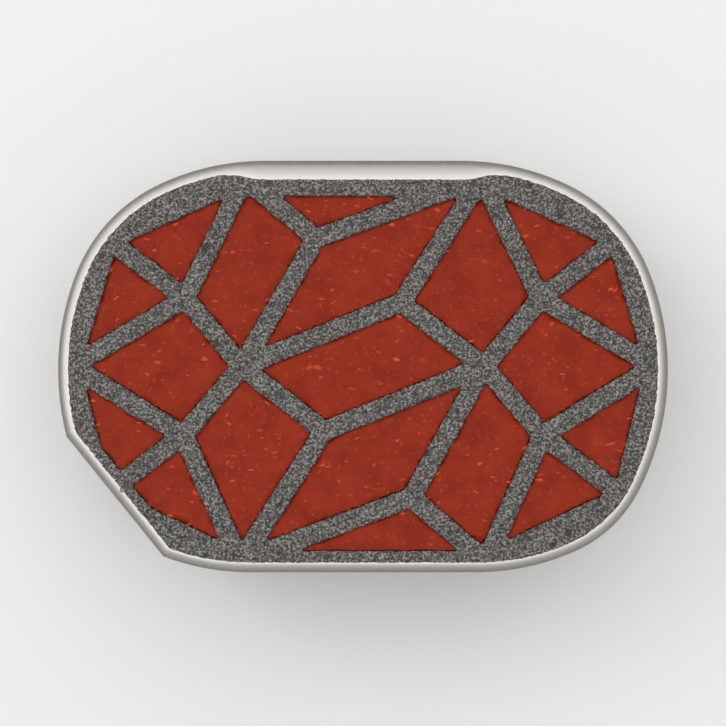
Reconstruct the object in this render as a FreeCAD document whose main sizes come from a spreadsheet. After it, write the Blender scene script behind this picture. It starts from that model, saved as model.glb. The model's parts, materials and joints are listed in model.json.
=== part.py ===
import FreeCAD, Part
import math
import os

import Sketcher

# Spinal interbody cage, printed in titanium and packed with bone graft.
# X runs across the cage, +Y points to the back of the spine and +Z up.
# The origin is the middle of the lower endplate, which lies flat on z = 0.
# The upper endplate slopes down towards the back by the lordosis angle.

Vector = FreeCAD.Vector

# Driving dimensions in millimetres and degrees
SIZES = (
    ("overall_width", 40.0, "across, wall to wall"),
    ("overall_depth", 27.0, "front to back, wall to wall"),
    ("anterior_height", 14.0, "upper endplate above the lower one at the front wall"),
    ("lordosis_angle", 10.0, "slope of the upper endplate"),
    ("posterior_flat_inset", 13.4, "ends of the straight back wall inside the side walls"),
    ("anterior_flat_inset", 12.7, "ends of the straight front wall inside the side walls"),
    ("end_arc_radius", 16.0, "arcs beside the straight walls"),
    ("posterior_corner_radius", 10.7, "rounded back corners"),
    ("anterior_corner_radius", 8.8, "rounded front corners"),
    ("side_arc_radius", 17.5, "bowed left and right walls"),
    ("inserter_azimuth", 220.0, "direction that the inserter face looks in"),
    ("face_inset_x", 3.91, "middle of the inserter face inside the left wall"),
    ("face_inset_y", 4.83, "middle of the inserter face inside the front wall"),
    ("inserter_height", 6.4, "axis of the inserter hole above the lower endplate"),
    ("rim_width", 0.75, "smooth rim outside the porous bed"),
    ("shoulder_radius", 0.6, "rounding of the smooth rim above"),
    ("lower_shoulder_bevel", 0.45, "bevel of the smooth rim below"),
    ("bed_step", 0.3, "porous bed proud of the smooth rim"),
    ("posterior_rim_width", 1.3, "wider smooth rim along the back"),
    ("recess_flat_inset", 13.4, "ends of the wider rim's straight inside the side walls"),
    ("recess_curve_radius", 4.6, "both bends where the wider rim ends"),
    ("wall_thickness", 1.4, "side walls"),
    ("endplate_thickness", 1.6, "porous endplates"),
    ("strut_width", 1.22, "struts of the endplate truss"),
    ("strut_overlap", 0.2, "strut ends past the node that they meet at"),
    ("truss_centre", -0.2, "centre of the truss along Y"),
    ("hub_x", 7.91, "hub nodes on the truss centre line"),
    ("fork_x", 11.65, "fork nodes across"),
    ("fork_y", 4.46, "fork nodes from the centre line"),
    ("crown_x", 3.12, "crown nodes across"),
    ("crown_y", 8.45, "crown nodes from the centre line"),
    ("knee_x", 2.52, "knee nodes across"),
    ("knee_y", 4.19, "knee nodes from the centre line"),
    ("rail_x", 7.88, "struts meet behind the front and back rails"),
    ("rail_inset", 1.0, "those nodes inside the front and back walls"),
    ("corner_inset_x", 3.23, "corner nodes inside the side walls"),
    ("corner_inset_y", 5.15, "corner nodes inside the front and back walls"),
    ("flank_inset", 0.98, "flank nodes inside the side walls"),
    ("side_frame", 1.56, "porous frame and rim at the side walls"),
    ("posterior_frame", 2.4, "porous frame and rim at the back wall"),
    ("anterior_frame", 1.43, "porous frame and rim at the front wall"),
    ("corner_frame_x", 3.75, "window field corners inside the side walls"),
    ("corner_frame_y", 5.55, "window field corners inside the front and back walls"),
    ("posterior_field", 17.9, "length of the window field at the back"),
    ("anterior_field", 15.5, "length of the window field at the front"),
    ("inserter_frame", 1.4, "porous frame and rim at the inserter face"),
    ("column_diameter", 1.4, "six-sided columns between the endplates, over corners"),
    ("boss_diameter", 7.2, "boss behind the inserter face"),
    ("boss_length", 6.2, "boss inwards from the inserter face"),
    ("bore_diameter", 4.2, "tapping size of the inserter thread"),
    ("bore_depth", 5.2, "blind inserter hole"),
    ("bore_lead_in", 0.4, "bevel at the mouth of the inserter hole"),
    ("drill_point_angle", 118.0, "point at the bottom of the inserter hole"),
    ("slot_spacing", 6.8, "between the two inserter slots"),
    ("slot_width", 1.0, "inserter slots across"),
    ("slot_height", 6.0, "inserter slots upwards"),
    ("slot_depth", 0.8, "inserter slots inwards"),
    ("centre_mark_size", 0.35, "centre mark in the rim over the inserter hole"),
    ("centre_mark_depth", 0.6, "that mark below the upper porous bed"),
    ("side_window_width", 4.4, "windows in the side walls, across"),
    ("side_window_margin", 1.2, "side windows clear of the endplates"),
    ("side_window_bevel", 1.4, "bevelled corners of the side windows"),
    ("side_window_jamb", 0.6, "shortest jamb left between those bevels"),
    ("posterior_window_x", 4.2, "back windows from the middle"),
    ("anterior_window_x", 4.6, "front windows from the middle"),
    ("lateral_window_back", 4.4, "rear side windows along Y"),
    ("lateral_window_front", -1.4, "front side windows along Y"),
    ("graft_inset", 1.2, "graft inside the outer wall"),
    ("graft_recess", 0.35, "graft below the porous beds"),
    ("cut_margin", 2.0, "cutters past the surface that they cut"),
)

HALF_WIDTH = "Sizes.overall_width / 2"
HALF_DEPTH = "Sizes.overall_depth / 2"
TALL = "(Sizes.anterior_height + Sizes.cut_margin)"

# Middle of the inserter face, and its distance from the origin along the way that it looks
AZIMUTH = "Sizes.inserter_azimuth"
FACE_X = f"(Sizes.face_inset_x - {HALF_WIDTH})"
FACE_Y = f"(Sizes.face_inset_y - {HALF_DEPTH})"
FACE_DISTANCE = f"({FACE_X} * cos({AZIMUTH}) + {FACE_Y} * sin({AZIMUTH}))"

doc = FreeCAD.newDocument("interbody_cage")
sheet = doc.addObject("Spreadsheet::Sheet", "Sizes")
for row, (alias, size, note) in enumerate(SIZES, 1):
    sheet.set(f"A{row}", alias)
    sheet.set(f"B{row}", str(size))
    sheet.setAlias(f"B{row}", alias)
    sheet.set(f"C{row}", note)
doc.recompute()


def value(expression):
    """Number that an expression of the sheet's sizes comes to."""
    return float(sheet.evalExpression(expression.replace("Sizes.", "")))


def bed_height(y):
    """Height of the upper porous bed at a place along Y."""
    return f"(Sizes.anterior_height - ({y} + {HALF_DEPTH}) * tan(Sizes.lordosis_angle))"


# Sketches and features

def new_sketch(body, name, role):
    """Empty sketch on one of the body's own origin planes."""
    sketch = body.newObject("Sketcher::SketchObject", name)
    plane = next(item for item in body.Origin.OriginFeatures if item.Role == role)
    sketch.AttachmentSupport = (plane, [""])
    sketch.MapMode = "FlatFace"
    return sketch


def drive(sketch, name, expression, kind, *where):
    """Dimension in a sketch that follows an expression."""
    index = sketch.addConstraint(Sketcher.Constraint(kind, *where, value(expression)))
    sketch.renameConstraint(index, name)
    sketch.setExpression(f"Constraints.{name}", expression)


def place_point(sketch, name, element, point, x, y):
    """Hold a point of a sketch at x and y from the origin."""
    drive(sketch, f"{name}_x", x, "DistanceX", -1, 1, element, point)
    drive(sketch, f"{name}_y", y, "DistanceY", -1, 1, element, point)


def polygon(body, name, role, corners):
    """Closed polygon whose corners are pairs of expressions."""
    sketch = new_sketch(body, name, role)
    points = [Vector(value(x), value(y), 0) for x, y in corners]
    count = len(points)
    for index in range(count):
        sketch.addGeometry(Part.LineSegment(points[index], points[(index + 1) % count]), False)
    for index, (x, y) in enumerate(corners):
        sketch.addConstraint(Sketcher.Constraint("Coincident", index, 1, (index - 1) % count, 2))
        place_point(sketch, f"corner_{index}", index, 1, x, y)
    return sketch


def pad(body, sketch, length, midplane=False):
    """Pad a sketch along its normal, or half to each side."""
    feature = body.newObject("PartDesign::Pad", f"{sketch.Name}_pad")
    feature.Profile = sketch
    feature.Midplane = midplane
    feature.setExpression("Length", length)
    return feature


def slope_top(body, drop):
    """Cut a body off along the plane that lies `drop` below the upper bed."""
    front = f"-({HALF_DEPTH} + Sizes.cut_margin)"
    back = f"({HALF_DEPTH} + Sizes.cut_margin)"
    corners = (
        (front, f"{bed_height(front)} - {drop}"),
        (back, f"{bed_height(back)} - {drop}"),
        (back, f"{TALL} + Sizes.cut_margin"),
        (front, f"{TALL} + Sizes.cut_margin"),
    )
    sketch = polygon(body, f"{body.Name}_slope", "YZ_Plane", corners)
    doc.recompute()
    before = body.Shape.Volume
    cut = body.newObject("PartDesign::Pocket", f"{body.Name}_slope_cut")
    cut.Profile = sketch
    cut.Midplane = True
    cut.setExpression("Length", "Sizes.overall_width + Sizes.cut_margin")
    doc.recompute()
    if cut.Shape.Volume >= before:
        raise RuntimeError(f"{cut.Name} removed nothing")
    return cut


# Outline of the cage in plan

def circle_meet(centre_a, reach_a, centre_b, reach_b):
    """Point at the given reaches from two centres, on the right going from a to b."""
    gap = centre_b - centre_a
    along = (reach_a ** 2 - reach_b ** 2 + gap.Length ** 2) / (2 * gap.Length)
    side = math.sqrt(reach_a ** 2 - along ** 2)
    forward = gap / gap.Length
    return centre_a + forward * along + Vector(forward.y, -forward.x, 0) * side


def heading(start, end):
    """Angle in radians from one point to another."""
    return math.atan2(end.y - start.y, end.x - start.x)


class Outline:
    """Closed chain of lines and arcs, drawn clockwise in a sketch."""

    def __init__(self, body, name):
        self.sketch = new_sketch(body, name, "XY_Plane")
        self.ends = []
        self.sharp = set()

    def line(self, start, end):
        index = self.sketch.addGeometry(Part.LineSegment(start, end), False)
        self.ends.append((index, 1, 2))
        return index

    def arc(self, centre, radius, first, last):
        """Arc whose radius is an expression, clockwise where last is below first."""
        circle = Part.Circle(centre, Vector(0, 0, 1), value(radius))
        clockwise = last < first
        low, high = (last, first) if clockwise else (first, last)
        index = self.sketch.addGeometry(Part.ArcOfCircle(circle, low, high), False)
        drive(self.sketch, f"radius_{index}", radius, "Radius", index)
        self.ends.append((index, 2, 1) if clockwise else (index, 1, 2))
        return index

    def close(self):
        """Join each piece to the next, tangent unless the corner is sharp."""
        for order, (index, _, leave) in enumerate(self.ends):
            following, enter, _ = self.ends[(order + 1) % len(self.ends)]
            kind = "Coincident" if order in self.sharp else "Tangent"
            self.sketch.addConstraint(Sketcher.Constraint(kind, index, leave, following, enter))
        return self.sketch


def footprint(body, name, inset, recessed=False):
    """Outline inside the outer wall by `inset`, with the wider rear rim if recessed."""
    shape = Outline(body, name)
    width, depth = value(HALF_WIDTH), value(HALF_DEPTH)
    end_radius = f"(Sizes.end_arc_radius - {inset})"
    side_radius = f"(Sizes.side_arc_radius - {inset})"
    end_reach = value("Sizes.end_arc_radius")
    side_centre = Vector(width - value("Sizes.side_arc_radius"), 0, 0)

    def mirrored(point, across, along):
        return Vector(point.x * across, point.y * along, 0)

    def centre_of_end(side, along):
        label = "posterior" if along > 0 else "anterior"
        x = f"{side} * ({HALF_WIDTH} - Sizes.{label}_flat_inset)"
        y = f"{along} * ({HALF_DEPTH} - Sizes.end_arc_radius)"
        return x, y

    # The back corner and the front corner of the right side, as if both were at the back
    corner = {}
    for along, label in ((1, "posterior"), (-1, "anterior")):
        end_centre = Vector(width - value(f"Sizes.{label}_flat_inset"), depth - end_reach, 0)
        radius = value(f"Sizes.{label}_corner_radius")
        middle = circle_meet(end_centre, end_reach - radius,
                             side_centre, value("Sizes.side_arc_radius") - radius)
        corner[along] = (end_centre, middle, heading(end_centre, middle), heading(side_centre, middle))

    def end_arc(side, along, first, last):
        centre = mirrored(corner[along][0], side, along)
        index = shape.arc(centre, end_radius, first, last)
        place_point(shape.sketch, f"end_{index}", index, 3, *centre_of_end(side, along))

    def corner_arc(side, along, first, last):
        label = "posterior" if along > 0 else "anterior"
        centre = mirrored(corner[along][1], side, along)
        shape.arc(centre, f"(Sizes.{label}_corner_radius - {inset})", first, last)

    def side_arc(side, first, last):
        index = shape.arc(mirrored(side_centre, side, 1), side_radius, first, last)
        shape.sketch.addConstraint(Sketcher.Constraint("PointOnObject", index, 3, -1))
        drive(shape.sketch, f"side_{index}", f"{side} * ({HALF_WIDTH} - Sizes.side_arc_radius)",
              "DistanceX", -1, 1, index, 3)

    right_angle = math.pi / 2
    _, _, back_end, back_side = corner[1]
    _, _, front_end, front_side = corner[-1]
    line_y = depth - value(inset)
    start_angle = right_angle
    if recessed:
        line_y = depth - value("Sizes.posterior_rim_width")
        bend = value("Sizes.recess_curve_radius")
        hollow = Vector(width - value("Sizes.recess_flat_inset"), line_y + bend, 0)
        crest = circle_meet(corner[1][0], value(end_radius) - bend, hollow, 2 * bend)
        start_angle = heading(corner[1][0], crest)
        crest_angle = heading(hollow, crest)

    def recess_bends(side):
        """Hollow and crest of the bend where the wider rim ends."""
        bends = [
            (hollow, -right_angle, crest_angle, True),
            (crest, crest_angle + math.pi, start_angle, False),
        ]
        if side < 0:
            bends = [(centre, math.pi - last, math.pi - first, held) for centre, first, last, held in bends]
            bends.reverse()
        for centre, first, last, held in bends:
            index = shape.arc(mirrored(centre, side, 1), "Sizes.recess_curve_radius", first, last)
            if held:
                y = f"{HALF_DEPTH} - Sizes.posterior_rim_width + Sizes.recess_curve_radius"
                x = f"{side} * ({HALF_WIDTH} - Sizes.recess_flat_inset)"
                place_point(shape.sketch, f"hollow_{index}", index, 3, x, y)

    line_x = width - value("Sizes.recess_flat_inset" if recessed else "Sizes.posterior_flat_inset")
    shape.line(Vector(-line_x, line_y, 0), Vector(line_x, line_y, 0))
    if recessed:
        recess_bends(1)
    end_arc(1, 1, start_angle, back_end)
    corner_arc(1, 1, back_end, back_side)
    side_arc(1, back_side, -front_side)
    corner_arc(1, -1, -front_side, -front_end)
    end_arc(1, -1, -front_end, -right_angle)
    line_x = width - value("Sizes.anterior_flat_inset")
    line_y = depth - value(inset)
    shape.line(Vector(line_x, -line_y, 0), Vector(-line_x, -line_y, 0))

    # The inserter face cuts the left front corner off between the end arc and the side arc
    azimuth = math.radians(value(AZIMUTH))
    outward = Vector(math.cos(azimuth), math.sin(azimuth), 0)
    reach = value(f"{FACE_DISTANCE} - {inset}")

    def face_angle(centre, radius, sign):
        swing = math.acos((reach - centre.dot(outward)) / radius)
        return azimuth + sign * swing

    front_centre = mirrored(corner[-1][0], -1, -1)
    left_centre = mirrored(side_centre, -1, 1)
    front_cut = face_angle(front_centre, value(end_radius), 1)
    side_cut = face_angle(left_centre, value(side_radius), -1)
    end_arc(-1, -1, 3 * right_angle, front_cut)
    shape.sharp.add(len(shape.ends) - 1)
    start = front_centre + Vector(math.cos(front_cut), math.sin(front_cut), 0) * value(end_radius)
    end = left_centre + Vector(math.cos(side_cut), math.sin(side_cut), 0) * value(side_radius)
    face = shape.line(start, end)
    drive(shape.sketch, "face_distance", f"{FACE_DISTANCE} - {inset}", "Distance", -1, 1, face)
    shape.sharp.add(len(shape.ends) - 1)

    side_arc(-1, side_cut, math.pi - back_side)
    corner_arc(-1, 1, math.pi - back_side, math.pi - back_end)
    end_arc(-1, 1, math.pi - back_end, math.pi - start_angle)
    if recessed:
        recess_bends(-1)
    sketch = shape.close()
    index = sketch.addConstraint(Sketcher.Constraint("Angle", face, azimuth - right_angle))
    sketch.renameConstraint(index, "face_angle")
    sketch.setExpression("Constraints.face_angle", f"({AZIMUTH} - 90) * 1 deg")
    return sketch


def block(name, inset, bottom, drop, recessed=False):
    """Body with the cage's outline, flat below and sloped above."""
    body = doc.addObject("PartDesign::Body", name)
    sketch = footprint(body, f"{name}_outline", inset, recessed)
    sketch.setExpression("AttachmentOffset.Base.z", bottom)
    pad(body, sketch, TALL)
    slope_top(body, drop)
    return body


def dress_edges(body, name, kind, field, size, chosen):
    """Fillet or Chamfer on every edge of the body's tip that passes the test."""
    doc.recompute()
    tip = body.Tip
    edges = [f"Edge{number}" for number, edge in enumerate(tip.Shape.Edges, 1) if chosen(edge)]
    feature = body.newObject(f"PartDesign::{kind}", name)
    feature.Base = (tip, edges)
    feature.setExpression(field, size)
    return feature


def runs_along(edge, direction):
    """Whether an edge is straight and parallel to a direction."""
    return abs(edge.tangentAt(edge.FirstParameter).dot(direction)) > 0.99


def runs_round(edge, low):
    """Whether an edge runs round the rim of a wall block, below or above."""
    below = edge.BoundBox.ZMax < value("Sizes.endplate_thickness")
    return below == low and not runs_along(edge, Vector(0, 0, 1))


# Part objects made from others

def cut_from(name, base, tool):
    """Base with the tool's volume taken away."""
    result = doc.addObject("Part::Cut", name)
    result.Base = base
    result.Tool = tool
    result.Refine = True
    return result


def joined(name, pieces):
    """Union of several objects."""
    result = doc.addObject("Part::MultiFuse", name)
    result.Shapes = pieces
    result.Refine = True
    return result


def box(name, length, width, height):
    """Box whose sizes are expressions, with its low corner at the origin."""
    solid = doc.addObject("Part::Box", name)
    solid.setExpression("Length", length)
    solid.setExpression("Width", width)
    solid.setExpression("Height", height)
    return solid


def turn(solid, x, y, z, angle):
    """Turn an object about Z and move its origin to x, y and z."""
    solid.Placement = FreeCAD.Placement(Vector(), FreeCAD.Rotation(Vector(0, 0, 1), 1))
    solid.setExpression("Placement.Base.x", x)
    solid.setExpression("Placement.Base.y", y)
    solid.setExpression("Placement.Base.z", z)
    solid.setExpression("Placement.Rotation.Angle", angle)
    return solid


# Solid with its smooth rim and the porous beds that stand proud of it

wall_block = block("wall_block", "0", "Sizes.bed_step", "Sizes.bed_step")
for name, kind, field, size, low in (
        ("upper_shoulder", "Fillet", "Radius", "Sizes.shoulder_radius", False),
        ("lower_shoulder", "Chamfer", "Size", "Sizes.lower_shoulder_bevel", True)):
    dress_edges(wall_block, name, kind, field, size, lambda edge: runs_round(edge, low))
bed_block = block("bed_block", "Sizes.rim_width", "0", "0", recessed=True)
solid_cage = joined("solid_cage", [wall_block, bed_block])

# Truss of the endplates: a field of windows divided by straight struts

CENTRE = "Sizes.truss_centre"
RAIL_Y = f"({HALF_DEPTH} - Sizes.rail_inset)"
CORNER_X = f"({HALF_WIDTH} - Sizes.corner_inset_x)"
CORNER_Y = f"({HALF_DEPTH} - Sizes.corner_inset_y)"
FLANK_X = f"({HALF_WIDTH} - Sizes.flank_inset)"

NODES = {
    "hub_left": ("-Sizes.hub_x", CENTRE),
    "hub_right": ("Sizes.hub_x", CENTRE),
    "crown_back": ("-Sizes.crown_x", f"({CENTRE} + Sizes.crown_y)"),
    "crown_front": ("Sizes.crown_x", f"({CENTRE} - Sizes.crown_y)"),
    "knee_back": ("Sizes.knee_x", f"({CENTRE} + Sizes.knee_y)"),
    "knee_front": ("-Sizes.knee_x", f"({CENTRE} - Sizes.knee_y)"),
}
for side, sign in (("left", "-"), ("right", "")):
    for end, way in (("back", "+"), ("front", "-")):
        NODES[f"fork_{end}_{side}"] = (f"{sign}Sizes.fork_x", f"({CENTRE} {way} Sizes.fork_y)")
        NODES[f"rail_{end}_{side}"] = (f"{sign}Sizes.rail_x", f"({CENTRE} {way} {RAIL_Y})")
        NODES[f"corner_{end}_{side}"] = (f"{sign}{CORNER_X}", f"({CENTRE} {way} {CORNER_Y})")
    NODES[f"flank_{side}"] = (f"{sign}{FLANK_X}", CENTRE)

STRUTS = [
    ("hub_left", "crown_back"), ("hub_left", "knee_back"), ("hub_left", "knee_front"),
    ("hub_right", "crown_front"), ("hub_right", "knee_front"), ("hub_right", "knee_back"),
    ("crown_back", "rail_back_left"), ("crown_back", "rail_back_right"), ("knee_back", "rail_back_right"),
    ("crown_front", "rail_front_right"), ("crown_front", "rail_front_left"),
    ("knee_front", "rail_front_left"),
]
for side in ("left", "right"):
    for end in ("back", "front"):
        fork = f"fork_{end}_{side}"
        STRUTS += [
            (fork, f"hub_{side}"), (fork, f"flank_{side}"),
            (fork, f"rail_{end}_{side}"), (fork, f"corner_{end}_{side}"),
        ]


def strut(name, start, end):
    """Straight bar from one node of the truss to another, through the full height."""
    (x1, y1), (x2, y2) = NODES[start], NODES[end]
    across, along = f"({x2} - {x1})", f"({y2} - {y1})"
    angle = f"atan2({along}; {across})"
    bar = box(name, f"sqrt({across}^2 + {along}^2) + 2 * Sizes.strut_overlap",
              "Sizes.strut_width", f"{TALL} + 2 * Sizes.cut_margin")
    x = f"{x1} - Sizes.strut_overlap * cos({angle}) + Sizes.strut_width / 2 * sin({angle})"
    y = f"{y1} - Sizes.strut_overlap * sin({angle}) - Sizes.strut_width / 2 * cos({angle})"
    return turn(bar, x, y, "-2 * Sizes.cut_margin", angle)


def field_corners():
    """Corners of the window field, with its left front corner still whole."""
    back = f"({HALF_DEPTH} - Sizes.posterior_frame)"
    front = f"({HALF_DEPTH} - Sizes.anterior_frame)"
    corner_x = f"({HALF_WIDTH} - Sizes.corner_frame_x)"
    corner_y = f"({HALF_DEPTH} - Sizes.corner_frame_y)"
    flank = f"({HALF_WIDTH} - Sizes.side_frame)"
    right = [
        ("Sizes.posterior_field / 2", back), (corner_x, f"{CENTRE} + {corner_y}"), (flank, CENTRE),
        (corner_x, f"{CENTRE} - {corner_y}"), ("Sizes.anterior_field / 2", f"-{front}"),
    ]
    return right + [(f"-{x}", y) for x, y in reversed(right)]


# Frame of the inserter face: its own X looks out of the face from the middle of its length

def at_face(solid, out, across, height, extra_turn="0"):
    """Move an object made at the origin into the frame of the inserter face."""
    x = f"{FACE_X} + {out} * cos({AZIMUTH}) - {across} * sin({AZIMUTH})"
    y = f"{FACE_Y} + {out} * sin({AZIMUTH}) + {across} * cos({AZIMUTH})"
    return turn(solid, x, y, height, f"{AZIMUTH} + {extra_turn}")


def prism(name, corners, length):
    """Body with a polygon across X, padded by half its length to each side."""
    body = doc.addObject("PartDesign::Body", name)
    pad(body, polygon(body, f"{name}_outline", "YZ_Plane", corners), length, midplane=True)
    return body


def rectangle(low_x, high_x, low_y, high_y):
    """Corners of a rectangle given by its sides."""
    return [(low_x, low_y), (high_x, low_y), (high_x, high_y), (low_x, high_y)]


# Windows of the endplates

field_block = doc.addObject("PartDesign::Body", "field_block")
field_sketch = polygon(field_block, "field_outline", "XY_Plane", field_corners())
field_sketch.setExpression("AttachmentOffset.Base.z", "-Sizes.cut_margin")
pad(field_block, field_sketch, f"{TALL} + Sizes.cut_margin")
bars = [strut(f"strut_{number}", *ends) for number, ends in enumerate(STRUTS, 1)]
face_bar = box("face_bar", "Sizes.overall_width", "2 * Sizes.overall_depth",
               f"{TALL} + 2 * Sizes.cut_margin")
bars.append(at_face(face_bar, "-Sizes.inserter_frame", "-Sizes.overall_depth", "-2 * Sizes.cut_margin"))
windows = cut_from("windows", field_block, joined("truss", bars))

# Chamber between the endplates, and the windows in the side walls

chamber = block("chamber", "Sizes.wall_thickness", "Sizes.endplate_thickness", "Sizes.endplate_thickness")


def side_window(name, x, y, azimuth, lowest_y):
    """Cutter for a window with bevelled corners, looking out of a side wall."""
    sill = "(Sizes.endplate_thickness + Sizes.side_window_margin)"
    lintel = f"({bed_height(lowest_y)} - {sill})"
    corners = rectangle("-Sizes.side_window_width / 2", "Sizes.side_window_width / 2", sill, lintel)
    body = prism(name, corners, "2 * Sizes.wall_thickness + Sizes.cut_margin")
    bevel = f"min(Sizes.side_window_bevel; ({lintel} - {sill} - Sizes.side_window_jamb) / 2)"
    dress_edges(body, f"{name}_corners", "Chamfer", "Size", bevel,
                lambda edge: runs_along(edge, Vector(1, 0, 0)))
    return turn(body, x, y, "0", azimuth)


side_windows = []
for side, sign in (("left", "-"), ("right", "")):
    x = f"{sign}Sizes.posterior_window_x"
    side_windows.append(side_window(f"back_window_{side}", x, HALF_DEPTH, "90", HALF_DEPTH))
    x, y = f"{sign}Sizes.anterior_window_x", f"-{HALF_DEPTH}"
    side_windows.append(side_window(f"front_window_{side}", x, y, "-90", y))
    for place in ("back", "front"):
        y = f"Sizes.lateral_window_{place}"
        side_windows.append(side_window(f"lateral_window_{place}_{side}", f"{sign}{HALF_WIDTH}", y,
                                        "0", f"({y} + Sizes.side_window_width / 2)"))
hollow_cage = cut_from("hollow_cage", solid_cage, joined("openings", [windows, chamber, *side_windows]))

# Columns between the endplates under the inner nodes, and the boss of the inserter hole

def column(name, x, y):
    """Six-sided column whose ends are sunk into both endplates."""
    solid = doc.addObject("Part::Prism", name)
    solid.Polygon = 6
    solid.setExpression("Circumradius", "Sizes.column_diameter / 2")
    solid.setExpression("Height", f"{bed_height(y)} - Sizes.endplate_thickness")
    return turn(solid, x, y, "Sizes.endplate_thickness / 2", "0")


columns = [column(f"column_{name}", x, y) for name, (x, y) in NODES.items()
           if name.startswith(("hub", "crown", "knee", "fork"))]


def circle_sketch(body, name, diameter):
    """Circle about the body's X axis."""
    sketch = new_sketch(body, name, "YZ_Plane")
    circle = Part.Circle(Vector(), Vector(0, 0, 1), value(diameter) / 2)
    index = sketch.addGeometry(circle, False)
    sketch.addConstraint(Sketcher.Constraint("Coincident", index, 3, -1, 1))
    drive(sketch, "diameter", diameter, "Diameter", index)
    return sketch


boss = doc.addObject("PartDesign::Body", "boss")
boss_sketch = circle_sketch(boss, "boss_circle", "Sizes.boss_diameter")
boss_sketch.setExpression("AttachmentOffset.Base.z", "-Sizes.wall_thickness / 2")
boss_pad = pad(boss, boss_sketch, "Sizes.boss_length - Sizes.wall_thickness / 2")
boss_pad.Reversed = True
at_face(boss, "0", "0", "Sizes.inserter_height")
cage_blank = joined("cage_blank", [hollow_cage, boss, *columns])

# Inserter hole with its bevelled mouth and drill point, the two slots and the centre mark

hole = doc.addObject("PartDesign::Body", "hole")
RADIUS = "Sizes.bore_diameter / 2"
mouth = f"{RADIUS} + Sizes.bore_lead_in"
tip = f"-(Sizes.bore_depth + {RADIUS} / tan(Sizes.drill_point_angle / 2))"
hole_sketch = polygon(hole, "hole_profile", "XY_Plane", [
    ("Sizes.cut_margin", "0"), (tip, "0"), ("-Sizes.bore_depth", RADIUS),
    ("-Sizes.bore_lead_in", RADIUS), ("0", mouth), ("Sizes.cut_margin", mouth),
])
hole_turn = hole.newObject("PartDesign::Revolution", "hole_turn")
hole_turn.Profile = hole_sketch
hole_turn.ReferenceAxis = (hole_sketch, ["H_Axis"])
hole_turn.Angle = 360
at_face(hole, "0", "0", "Sizes.inserter_height")

face_cuts = [hole]
for side, sign in (("left", "-"), ("right", "")):
    middle = f"({sign}Sizes.slot_spacing / 2)"
    slot = prism(f"slot_{side}", rectangle(f"{middle} - Sizes.slot_width / 2",
                                           f"{middle} + Sizes.slot_width / 2",
                                           "-Sizes.slot_height / 2", "Sizes.slot_height / 2"),
                 "2 * Sizes.slot_depth")
    face_cuts.append(at_face(slot, "0", "0", "Sizes.inserter_height"))
mark = box("centre_mark", "Sizes.centre_mark_size", "Sizes.centre_mark_size", "Sizes.cut_margin")
face_cuts.append(at_face(mark, "-(Sizes.rim_width + Sizes.centre_mark_size / sqrt(2))", "0",
                         f"{bed_height(FACE_Y)} - Sizes.centre_mark_depth", "-45"))
cage_body = cut_from("cage_body", cage_blank, joined("face_cuts", face_cuts))

# Graft packed into the chamber and up through the windows of the endplates

graft_block = block("graft_block", "Sizes.graft_inset", "Sizes.graft_recess", "Sizes.graft_recess")
bone_graft = cut_from("bone_graft", graft_block, cage_blank)

doc.recompute()
for item in doc.Objects:
    if "Invalid" in item.State or "Error" in item.State:
        raise RuntimeError(f"{item.Name} failed: {item.State}")
os.makedirs("parts", exist_ok=True)
for item in (cage_body, bone_graft):
    item.Label = item.Name
    shape = item.Shape
    if shape.isNull() or not shape.isValid():
        raise RuntimeError(f"{item.Label} has no valid shape")
    shape.exportStep(f"parts/{item.Label}.step")
    print(item.Label, "solids", len(shape.Solids), "volume", round(shape.Volume, 1))
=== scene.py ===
import json
import logging
import math
import random
from collections.abc import Callable
from dataclasses import dataclass
from enum import Enum

import bmesh
import bpy
from bmesh.types import BMesh, BMFace, BMVert
from mathutils import Matrix, Vector, noise
from mathutils.bvhtree import BVHTree
from mathutils.geometry import barycentric_transform, convex_hull_2d


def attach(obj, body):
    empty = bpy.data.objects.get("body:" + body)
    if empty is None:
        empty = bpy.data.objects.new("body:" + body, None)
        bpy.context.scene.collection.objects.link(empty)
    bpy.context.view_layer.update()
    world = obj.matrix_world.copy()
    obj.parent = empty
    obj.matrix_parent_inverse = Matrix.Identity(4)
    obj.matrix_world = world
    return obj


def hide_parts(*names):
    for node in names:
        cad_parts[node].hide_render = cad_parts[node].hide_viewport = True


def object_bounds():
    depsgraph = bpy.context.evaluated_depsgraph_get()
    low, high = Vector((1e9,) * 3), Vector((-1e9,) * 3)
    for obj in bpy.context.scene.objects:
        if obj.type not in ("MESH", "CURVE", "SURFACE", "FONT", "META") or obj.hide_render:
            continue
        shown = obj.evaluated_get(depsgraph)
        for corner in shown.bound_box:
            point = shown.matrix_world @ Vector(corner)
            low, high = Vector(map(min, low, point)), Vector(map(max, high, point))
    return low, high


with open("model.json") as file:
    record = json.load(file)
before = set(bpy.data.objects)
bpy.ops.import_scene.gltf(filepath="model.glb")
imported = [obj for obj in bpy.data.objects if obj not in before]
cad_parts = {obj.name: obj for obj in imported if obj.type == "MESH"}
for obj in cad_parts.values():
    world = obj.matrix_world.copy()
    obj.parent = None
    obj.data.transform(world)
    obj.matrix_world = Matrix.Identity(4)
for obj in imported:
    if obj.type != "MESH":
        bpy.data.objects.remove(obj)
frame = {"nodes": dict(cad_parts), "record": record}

# Visual model of a printed titanium interbody cage packed with bone graft.
# Lengths are in millimetres until a piece is finished, when it is brought to metres.
# The studio is in metres.

MM = 0.001
CAD_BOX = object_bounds()

# Vertices nearer to each other than this are merged
MERGE_DISTANCE = 0.002
# A vertex nearer to a surface than this lies on it
ON_PLANE = 0.004
# Faces that meet at a greater angle than this show an edge
SHARP_EDGE = math.radians(32)
# Faces whose normals differ by less than this lie on the same surface
SAME_FACE = math.radians(12)

# Attributes that carry a finish, and painted shade, over a piece
POLISH_AND_SHADE = "polish"
CREST = "crest"

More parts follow.
